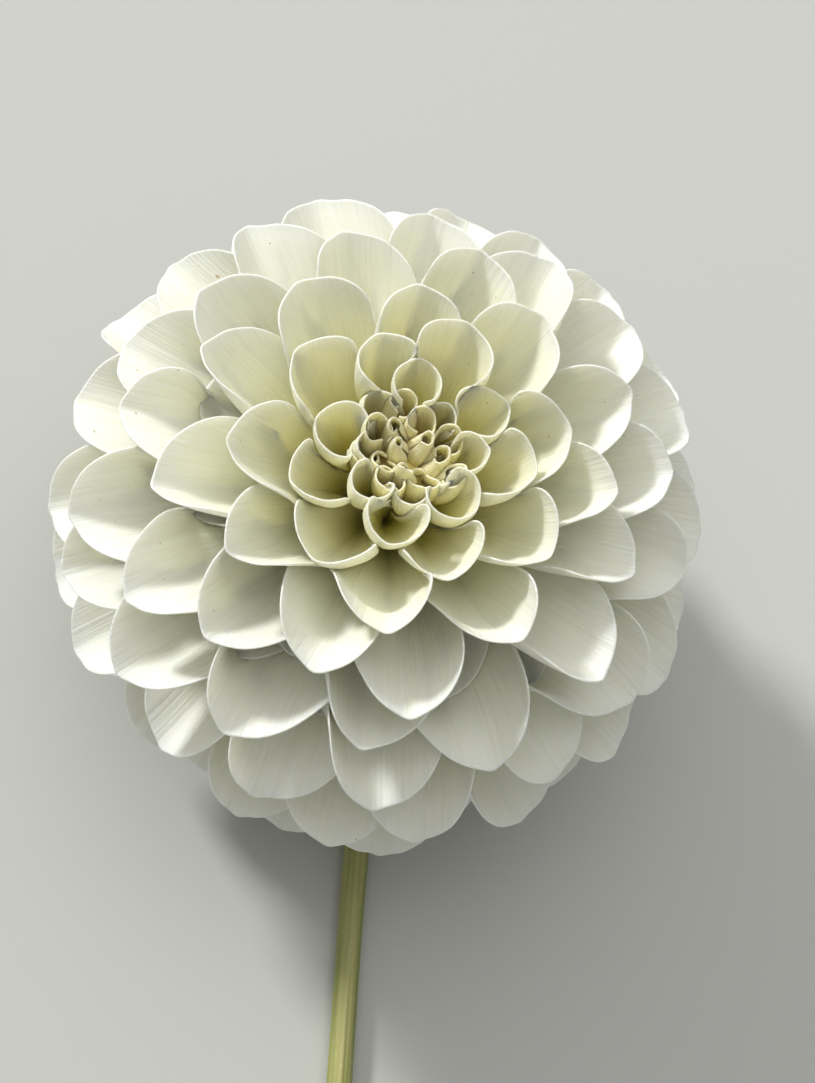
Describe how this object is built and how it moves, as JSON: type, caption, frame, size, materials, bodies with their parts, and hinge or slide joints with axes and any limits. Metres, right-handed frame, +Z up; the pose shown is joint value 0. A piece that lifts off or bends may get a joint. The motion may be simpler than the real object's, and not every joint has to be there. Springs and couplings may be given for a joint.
{
  "type": "dahlia flower",
  "caption": "Ball-shaped white dahlia bloom with cupped petals in a spiral round a cream eye, a green calyx and a bent cut stem, lying on its back.",
  "frame": {"origin": "on the surface that the flower lies on, under the middle of its bounding box", "axes": "+Z up along the bloom's axis, out of its face; +Y from the stem's cut end towards the bloom; +X to the right seen from the stem's end"},
  "size_m": [0.0988, 0.1697, 0.0718],
  "materials": {
    "petal": "soft, slightly translucent creamy white petal with fine lengthwise ridges",
    "young_floret": "soft pale cream-yellow of unopened florets",
    "calyx_green": "leafy green bracts, slightly waxy",
    "stem_green": "olive to yellow-green stem, satin, with faint lengthwise lines"
  },
  "bodies": {
    "root": {"petals": "petal", "eye_florets": "young_floret", "calyx": "calyx_green", "stem": "stem_green"}
  },
  "joints": []
}
